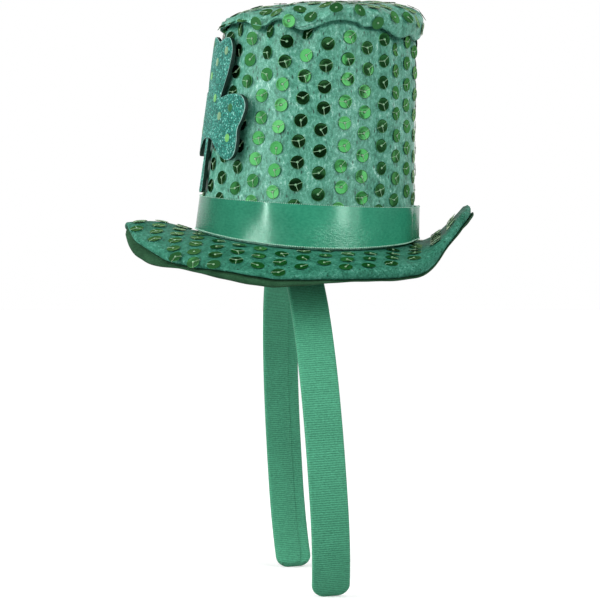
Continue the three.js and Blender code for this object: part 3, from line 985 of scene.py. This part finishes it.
def frames_on(face, first, second, step=0.003):
    """Frames on a surface, which runs right along its first number and up along its second."""
    right = face(first + step, second) - face(first - step, second)
    up = face(first, second + step) - face(first, second - step)
    return framed(right, up)


def sew(name, origins, frames):
    """Sequins at places on the hat, and the threads that hold a share of them."""
    count = len(origins)
    leaning = tilted(frames)
    lifted = origins + frames[..., 2] * SEQUIN_LIFT
    facing = HAT_TURN @ spun(leaning, rng.uniform(0, 360 / SEQUIN_LOBES, count))
    warps = rng.choice(SEQUIN_WARPS, count)
    points, faces = joined([
        scattered(sequin_template(warp), on_hat(lifted[warps == warp]), facing[warps == warp])
        for warp in SEQUIN_WARPS
    ])
    sequins = new_piece(f"{name}_sequins", points, faces, "sequin", SEQUIN, sharp=50)
    stitches = []
    for angle, share in zip(*SPOKES.values()):
        heading = HAT_TURN @ spun(leaning, angle + rng.normal(0, SPOKE_SPREAD, count))
        kept = rng.uniform(size=count) < share * STITCHED[name]
        stitches.append(scattered(spoke_template(), on_hat(lifted[kept]), heading[kept]))
    knot = ring_shape(lathe(KNOT_PROFILE, KNOT_SIDES), False)[:2]
    stitches.append(scattered(knot, on_hat(lifted), HAT_TURN @ leaning))
    threads = new_piece(f"{name}_threads", *joined(stitches), "thread", THREAD, sharp=80)
    return [sequins, threads]


def crown_sequins():
    columns = np.arange(360 // COLUMN_TURN)
    column, row = (grid.ravel() for grid in np.meshgrid(columns, CROWN_ROWS, indexing="ij"))
    theta = np.radians(COLUMN_START + COLUMN_TURN * column + rng.normal(0, COLUMN_SCATTER, len(column)))
    height = ROW_START + ROW_PITCH * row + STAGGER * (column % 2) + rng.normal(0, ROW_SCATTER, len(row))
    shown = (height > ribbon_top(theta) - SEQUIN_TUCK) & (height < seam_height(theta) - SEAM_CLEARANCE)
    theta, height = theta[shown], height[shown]
    return sew("crown", crown_face(theta, height), frames_on(crown_face, theta, height))


def cloth_grid(turn, reach, across_shift, along_shift):
    """A flat staggered lattice of sequin places, columns running at a turn from +X."""
    count = int(reach / ROW_PITCH) + 2
    lines = np.arange(-count, count)
    column, row = (grid.ravel() for grid in np.meshgrid(lines, lines))
    across = CLOTH_COLUMN_PITCH * column + across_shift
    along = ROW_PITCH * row + STAGGER * (column % 2) + along_shift
    c, s = math.cos(math.radians(turn)), math.sin(math.radians(turn))
    return along * c - across * s, along * s + across * c


def round_edge(origins, frames, past, radius):
    """Places and frames carried on by a distance past the start of the brim's rounded edge."""
    lean = np.minimum(past / radius, math.radians(EDGE_ROW_LEAN))
    c, s = np.cos(lean)[:, None], np.sin(lean)[:, None]
    right, up, out = np.moveaxis(frames, -1, 0)
    bent = np.stack([right, up * c + out * s, out * c - up * s], axis=-1)
    arc_move = radius[:, None] * (-up * s - out * (1 - c))
    straight_move = (past - radius * lean)[:, None] * -bent[..., 1]
    return origins + arc_move + straight_move, bent


def brim_sequins():
    x, y = cloth_grid(**BRIM_GRID)
    theta = np.arctan2(x, -y)
    flat = np.hypot(x, y) - FOOT_RADIUS
    along = np.linspace(0, 1, BRIM_SAMPLES)
    lengths = np.array([distances(line) for line in brim_face(theta[:, None], along)])
    overhang = SEQUIN_OVERHANG * (1 - bulge(theta, FLAP_TURN, FLAP_WIDTH))
    overhang += EDGE_ROW_REACH * bulge(theta, EDGE_ROW_TURN, EDGE_ROW_WIDTH)
    shown = (flat > BRIM_SEQUIN_START) & (flat < lengths[:, -1] - SEQUIN_RADIUS + overhang)
    theta, flat, lengths = theta[shown], flat[shown], lengths[shown]
    edge_round = cloth_depth(theta, 1) / 2
    start = lengths[:, -1] - edge_round
    past = np.clip(flat - start, 0, EDGE_ROW_PAST)
    place = np.array([np.interp(f, row, along) for f, row in zip(np.minimum(flat, start), lengths)])
    frames = frames_on(lambda turn, inward: brim_face(turn, -inward), theta, -place)
    return sew("brim", *round_edge(brim_face(theta, place), frames, past, edge_round))


def tip_sequins():
    at = np.linspace(TIP_START, TIP_LAST, TIP_SAMPLES)
    sides = np.radians([-TIP_SIDE_STEP, 0, TIP_SIDE_STEP])
    origins, frames = [], []
    for x, y in zip(*cloth_grid(**TIP_GRID)):
        distance = np.hypot(x, y)
        rows = tip_rows(np.arctan2(x, -y) + sides, at)
        along = distances(rows[:, 1]) + np.hypot(*rows[0, 1, :2])
        if distance > along[-1] - SEQUIN_RADIUS * HEM_CLEARANCE:
            continue
        k = int(np.clip(np.searchsorted(along, distance), 1, len(at) - 2))
        inner, outer = (np.searchsorted(along, distance + end) for end in (-SEQUIN_RADIUS, SEQUIN_RADIUS))
        up = rows[min(inner, k - 1), 1] - rows[min(outer, len(at) - 1), 1]
        origins.append(rows[k, 1])
        frames.append(framed(rows[k, 2] - rows[k, 0], up))
    return sew("tip", np.array(origins), np.array(frames))


# Materials

def new_material(name, **sockets):
    finish = bpy.data.materials.new(name)
    finish.use_nodes = True
    shader = finish.node_tree.nodes["Principled BSDF"]
    for socket, value in sockets.items():
        shader.inputs[socket.replace("_", " ")].default_value = value
    return finish, finish.node_tree, shader


def feed(tree, socket, source):
    """Links a socket to another node's output, or sets it to a value."""
    if isinstance(source, bpy.types.NodeSocket):
        tree.links.new(source, socket)
    else:
        socket.default_value = source


def add(tree, kind, inputs=None, **settings):
    """A node with its settings and its inputs, which are values or other nodes' outputs."""
    node = tree.nodes.new("ShaderNode" + kind)
    for key, value in settings.items():
        setattr(node, key, value)
    for key, source in (inputs or {}).items():
        feed(tree, node.inputs[key], source)
    return node


def place_of(tree):
    return add(tree, "TexCoord").outputs["Object"]


def cloth_of(tree):
    return add(tree, "UVMap", uv_map="cloth").outputs["UV"]


def split(tree, vector):
    """The three parts of a vector or a colour, by the names X, Y and Z."""
    return add(tree, "SeparateXYZ", {"Vector": vector}).outputs


def stretched(tree, vector, shares):
    return add(tree, "VectorMath", {0: vector, 1: shares}, operation="MULTIPLY").outputs[0]


def noise(tree, scale, detail=3.0, roughness=0.55, distortion=0.0, vector=None):
    """Noise over a vector, or else over the place on the part."""
    inputs = {
        "Vector": place_of(tree) if vector is None else vector,
        "Scale": scale,
        "Detail": detail,
        "Roughness": roughness,
        "Distortion": distortion,
    }
    return add(tree, "TexNoise", inputs).outputs["Fac"]


def ramp(tree, factor, *stops):
    """A colour that runs through stops, each a place and a colour or a grey level."""
    node = add(tree, "ValToRGB", {"Fac": factor})
    elements = node.color_ramp.elements
    while len(elements) < len(stops):
        elements.new(0.5)
    for element, (place, colour) in zip(elements, stops):
        element.position = place
        element.color = (*colour, 1) if isinstance(colour, tuple) else (colour, colour, colour, 1)
    return node.outputs["Color"]


def maths(tree, operation, *terms):
    return add(tree, "Math", dict(enumerate(terms)), operation=operation).outputs[0]


def weighed(tree, *parts):
    """The sum of values, each by its share."""
    terms = [maths(tree, "MULTIPLY", value, share) for value, share in parts]
    total = terms[0]
    for term in terms[1:]:
        total = maths(tree, "ADD", total, term)
    return total


def ribs(tree, distance, pitch):
    """A wave from 0 to 1 along a distance."""
    wave = maths(tree, "SINE", maths(tree, "MULTIPLY", distance, 2 * math.pi / pitch))
    return maths(tree, "MULTIPLY_ADD", wave, 0.5, 0.5)


def bump(tree, shader, height, depth, below=None):
    """Relief of a depth in millimetres on the shader, over an earlier relief if there is one."""
    inputs = {"Height": height, "Strength": 1.0, "Distance": depth * MM}
    if below is not None:
        inputs["Normal"] = below
    normal = add(tree, "Bump", inputs).outputs["Normal"]
    feed(tree, shader.inputs["Normal"], normal)
    return normal


def paint(tree, shader, factor, *stops):
    """Gives the shader a colour that runs through stops."""
    feed(tree, shader.inputs["Base Color"], ramp(tree, factor, *stops))


def blend(tree, factor, first, second):
    """One colour fading into another."""
    return add(tree, "Mix", {0: factor, 6: first, 7: second}, data_type="RGBA").outputs[2]


def to_camera(tree, others_see, camera_sees):
    """One shader for the camera's own rays and another for all the rest."""
    seen = add(tree, "LightPath").outputs["Is Camera Ray"]
    inputs = {0: seen, 1: others_see.outputs[0], 2: camera_sees.outputs[0]}
    return add(tree, "MixShader", inputs).outputs[0]


def tinted(shade, tint):
    return tuple(channel * share for channel, share in zip(shade, tint))


def grosgrain():
    """Ribbed ribbon: ribs across the band, a little uneven, with painted shade in the valleys between them.
    """
    finish, tree, shader = new_material("grosgrain", Roughness=0.75, Sheen_Weight=0.1, Sheen_Roughness=0.4)
    uneven = maths(tree, "MULTIPLY", noise(tree, 900, 2), 0.5)
    rib = ribs(tree, maths(tree, "ADD", split(tree, cloth_of(tree))["Y"], uneven), RIB_PITCH)
    # The rib wave darkens the valleys as painted shade, the same wave that gives their relief
    shade = weighed(tree, (rib, 0.3), (noise(tree, 60, 4), 0.2), (noise(tree, 1500, 2), 0.5))
    paint(tree, shader, shade, (0.25, (0.015, 0.15, 0.078)), (0.5, (0.042, 0.272, 0.15)),
          (0.75, (0.076, 0.4, 0.232)))
    relief = bump(tree, shader, rib, 0.05)
    bump(tree, shader, noise(tree, 2600, 2), 0.03, relief)
    return finish


def felt():
    """Pressed felt: matted fibres in several greens."""
    finish, tree, shader = new_material("felt", Roughness=0.95, Specular_IOR_Level=0.2)
    fibres = noise(tree, 1400, 5, roughness=0.7, distortion=1.2)
    shade = weighed(tree, (fibres, 0.6), (noise(tree, 120), 0.4))
    paint(tree, shader, shade, (0.3, (0.006, 0.034, 0.014)), (0.5, (0.018, 0.072, 0.031)),
          (0.72, (0.042, 0.13, 0.065)))
    bump(tree, shader, fibres, 0.25)
    return finish


def satin():
    """Smooth ribbon with a fine weft that stands up along its lower part, and soft crinkles."""
    finish, tree, shader = new_material("satin", Metallic=0.05, Specular_IOR_Level=0.45)
    cloth = cloth_of(tree)
    mark = split(tree, cloth)
    up = maths(tree, "DIVIDE", mark["X"], RIBBON_WIDTH)
    around = maths(tree, "DIVIDE", mark["Y"], ribbon_length())
    feed(tree, shader.inputs["Roughness"], ramp(tree, up, (0.25, 0.23), (0.7, 0.19)))
    weft = noise(tree, 1, roughness=0.6, vector=stretched(tree, cloth, (1.7, 0.7, 1)))
    tone = weighed(tree, (weft, 0.6), (noise(tree, 90), 0.4))
    paint(tree, shader, tone, (0.3, (0.015, 0.2, 0.115)), (0.7, (0.046, 0.345, 0.205)))
    lower = ramp(tree, up, (0.25, 1), (0.55, 0.08))
    stops = [((turn - RIBBON_START) % 360 / (360 + RIBBON_LAP), share)
             for turn, share in zip(*RIBBON_GLINTS.values())]
    standing = maths(tree, "MULTIPLY", lower, ramp(tree, around, *stops))
    relief = bump(tree, shader, maths(tree, "MULTIPLY", weft, standing), RIBBON_RELIEF)
    bump(tree, shader, noise(tree, 300, roughness=0.6), 0.03, relief)
    return finish


def sequin_cloth(name, drawn, tint, **sockets):
    """Thin bluish satin, crinkled along the way it is drawn, with painted shade in its creases, flecks of
    painted silvery sheen, and needle holes painted dark as the shade inside them.
    """
    finish, tree, shader = new_material(name, Metallic=0.05, **sockets)
    along = stretched(tree, place_of(tree), drawn)
    crinkle = noise(tree, 1050, 4, roughness=0.68, distortion=0.4, vector=along)
    folds = noise(tree, 190, roughness=0.6, distortion=1.0, vector=along)
    weave = noise(tree, 3200, 2)
    tone = weighed(tree, (crinkle, 0.5), (weave, 0.22), (folds, 0.28))
    # Darker where the crinkles and folds of the relief sink, as painted shade, and silvery where they rise,
    # as painted sheen
    cloth_shade_and_sheen = ramp(tree, tone, *[(place, tinted(shade, tint)) for place, shade in CLOTH_SHADE_AND_SHEEN_TONES])
    pulled = stretched(tree, along, drawn)
    # Needle holes: small dark spots, the painted shade inside each hole
    holes = add(tree, "TexVoronoi", {"Vector": pulled, "Scale": 560.0}).outputs["Distance"]
    clear_of_hole_shade = ramp(tree, holes, (0.11, 0), (0.21, 1))
    dark = ramp(tree, weave, *[(place, tinted(shade, tint)) for place, shade in HOLE_SHADE_TONES])
    feed(tree, shader.inputs["Base Color"], blend(tree, clear_of_hole_shade, dark, cloth_shade_and_sheen))
    relief = bump(tree, shader, folds, 0.3)
    bump(tree, shader, crinkle, 0.16, relief)
    return finish


def sequin():
    """Mirror green plastic film, a little different from one sequin to the next."""
    edge_tint = (0.65, 0.8, 0.55, 1)
    finish, tree, shader = new_material("sequin", Metallic=1.0, Roughness=0.2, Specular_Tint=edge_tint)
    island = add(tree, "NewGeometry").outputs["Random Per Island"]
    paint(tree, shader, island, (0, (0.032, 0.165, 0.046)), (0.5, (0.041, 0.19, 0.058)),
          (1, (0.055, 0.22, 0.07)))
    bump(tree, shader, noise(tree, 700, 2), 0.006)
    return finish


def fibre(name, roughness, dark, pale):
    """Spun thread, uneven along its fibres."""
    finish, tree, shader = new_material(name, Roughness=roughness)
    paint(tree, shader, noise(tree, 3000, 2), (0.3, dark), (0.7, pale))
    return finish


def glitter_foam():
    """Foam under a teal skin of fine glitter, each grain its own brightness. The cut edge is pale, partly its
    own colour and partly a painted highlight, and the foam's side and back are near-black, painted shade for
    the shadow in the gap under the leaves.
    """
    finish, tree, shader = new_material("glitter_foam", Metallic=0.05, Roughness=0.55, Specular_IOR_Level=0.3)
    cells = add(tree, "TexVoronoi", {"Vector": place_of(tree), "Scale": 2000.0})
    grain = split(tree, cells.outputs["Color"])
    glitter = ramp(tree, grain["X"], (0, (0.001, 0.055, 0.04)), (0.5, (0.009, 0.15, 0.112)),
                   (0.85, (0.023, 0.26, 0.2)), (1, (0.24, 0.62, 0.53)))
    place = maths(tree, "DIVIDE", split(tree, cloth_of(tree))["Y"], FOAM_MARKS["back"])
    cut, painted_shade_start = (FOAM_MARKS[key] / FOAM_MARKS["back"] for key in ("cut", "painted_shade_start"))
    # The cut edge: partly its own paler colour, partly a painted highlight
    pale = ramp(tree, grain["Y"], (0, (0.16, 0.36, 0.3)), (1, (0.34, 0.58, 0.52)))
    # Painted shade: the foam's side and back are near-black, the shadow in the gap under the leaves
    dark = ramp(tree, grain["Y"], (0, (0.002, 0.018, 0.012)), (1, (0.006, 0.034, 0.024)))
    past_cut = ramp(tree, place, (cut, 0), (cut + 0.01, 1))
    painted_shade_mask = ramp(tree, place, (painted_shade_start, 0), (painted_shade_start + 0.02, 1))
    skin = blend(tree, past_cut, glitter, pale)
    feed(tree, shader.inputs["Base Color"], blend(tree, painted_shade_mask, skin, dark))
    bump(tree, shader, grain["Y"], 0.06)
    return finish


def pale_floor():
    """Plain white to the camera up to its far edge, and dimmer where it lights the hat from below."""
    finish, tree, shader = new_material("pale_floor", Roughness=0.8, Emission_Color=(1, 1, 1, 1))
    paint(tree, shader, noise(tree, 3, 2), (0.3, 0.89), (0.7, 0.91))
    away = add(tree, "VectorMath", {0: place_of(tree)}, operation="LENGTH").outputs["Value"]
    farthest = FLOOR_GLOW["distance"][-1]
    stops = [(place / farthest, level) for place, level in zip(*FLOOR_GLOW.values())]
    glow = ramp(tree, maths(tree, "DIVIDE", away, farthest), *stops)
    feed(tree, shader.inputs["Emission Strength"], glow)
    dim = add(tree, "BsdfDiffuse", {"Color": (FLOOR_BOUNCE, FLOOR_BOUNCE, FLOOR_BOUNCE, 1)})
    mixed = to_camera(tree, dim, shader)
    feed(tree, tree.nodes["Material Output"].inputs["Surface"], mixed)
    return finish


# Studio

def direction(azimuth, elevation):
    """The way out at an azimuth and an elevation in degrees."""
    a, e = math.radians(azimuth), math.radians(elevation)
    return Vector((math.sin(a) * math.cos(e), -math.cos(a) * math.cos(e), math.sin(e)))


def stand_off(thing, target, out, distance):
    """Places a camera or a light at a distance from its target and turns it to face that."""
    thing.location = (Vector(target) + out * distance) * MM
    thing.rotation_mode = "QUATERNION"
    thing.rotation_quaternion = (-out).to_track_quat("-Z", "Y")


def camera():
    data = bpy.data.cameras.new("camera")
    data.sensor_width = SENSOR_WIDTH
    data.lens = PIXELS_PER_MM * CAMERA_DISTANCE / PHOTO_WIDTH * SENSOR_WIDTH
    data.clip_end = CLIP_END
    eye = put("camera", data)
    stand_off(eye, CAMERA_TARGET, direction(CAMERA_AZIMUTH, CAMERA_ELEVATION), CAMERA_DISTANCE)
    bpy.context.scene.camera = eye


def floor():
    low = cad_box[0].z / MM
    rings = np.array([polar(radius, turns(FLOOR_STEPS), low) for radius in (FLOOR_RADIUS / 4, FLOOR_RADIUS)])
    inner = np.arange(FLOOR_STEPS)
    after = np.roll(inner, -1)
    faces = np.stack([inner, FLOOR_STEPS + inner, FLOOR_STEPS + after, after], axis=-1).tolist()
    mesh = new_mesh("floor", rings.reshape(-1, 3), faces + [inner.tolist()], pale_floor())
    put("floor", mesh)


def softbox(name, azimuth, elevation, width, height, radiance, on, gives, ribbon):
    """One of the lights, which may leave out the ribbon or shine on it alone."""
    data = bpy.data.lights.new(name, "AREA")
    data.shape = "RECTANGLE"
    data.size, data.size_y = width * MM, height * MM
    data.energy = radiance * math.pi * data.size * data.size_y
    lamp = put(name, data)
    stand_off(lamp, LIGHT_AIM, direction(CAMERA_AZIMUTH + azimuth, elevation), LIGHT_DISTANCE)
    lamp.visible_camera = False
    lamp.visible_glossy = gives != "fill"
    lamp.visible_diffuse = gives != "highlights"
    if on == "all":
        return
    lit = bpy.data.collections.new(name)
    lit.objects.link(ribbon)
    lamp.light_linking.receiver_collection = lit
    lit.collection_objects[0].light_linking.link_state = "INCLUDE" if on == "ribbon" else "EXCLUDE"


def room():
    """White surroundings behind the hat and pale overhead, dim at its sides, dark behind the camera, and
    plain white where the camera looks past."""
    world = bpy.data.worlds.new("room")
    bpy.context.scene.world = world
    world.use_nodes = True
    tree = world.node_tree
    tree.nodes.clear()
    way = add(tree, "TexCoord").outputs["Generated"]
    back = tuple(direction(CAMERA_AZIMUTH, CAMERA_ELEVATION))
    facing = add(tree, "VectorMath", {0: way, 1: back}, operation="DOT_PRODUCT").outputs["Value"]
    around = ramp(tree, maths(tree, "MULTIPLY_ADD", facing, 0.5, 0.5), *zip(*ROOM_AROUND.values()))
    overhead = ramp(tree, split(tree, way)["Z"], *zip(*ROOM_OVERHEAD.values()))
    above = (ROOM_ABOVE, ROOM_ABOVE, ROOM_ABOVE, 1)
    lit = add(tree, "Background", {"Color": blend(tree, overhead, around, above), "Strength": 1.0})
    plain = add(tree, "Background", {"Color": (1, 1, 1, 1), "Strength": 1.0})
    add(tree, "OutputWorld", {"Surface": to_camera(tree, lit, plain)})


SEQUIN_CLOTH = sequin_cloth("sequin_cloth", (1, 1, 0.62), (1, 1, 1), Roughness=0.4, Specular_IOR_Level=0.5)
SEQUIN = sequin()
THREAD = fibre("thread", 0.5, (0.17, 0.34, 0.19), (0.3, 0.5, 0.32))
PICOT = fibre("picot", 0.45, (0.3, 0.6, 0.45), (0.5, 0.78, 0.64))

camera()
floor()
room()
bpy.context.scene.view_settings.view_transform = "Standard"

headband()
felt_base = brim_felt()
cover_cloth = brim_cover()
crown_cloth = crown_side()
tip_cloth = crown_tip()
ribbon_satin = hat_ribbon()
for light, settings in LIGHTS.items():
    softbox(light, *settings, ribbon_satin)
shamrock()
sequins_sewn = {"crown": crown_sequins(), "tip": tip_sequins(), "brim": brim_sequins()}
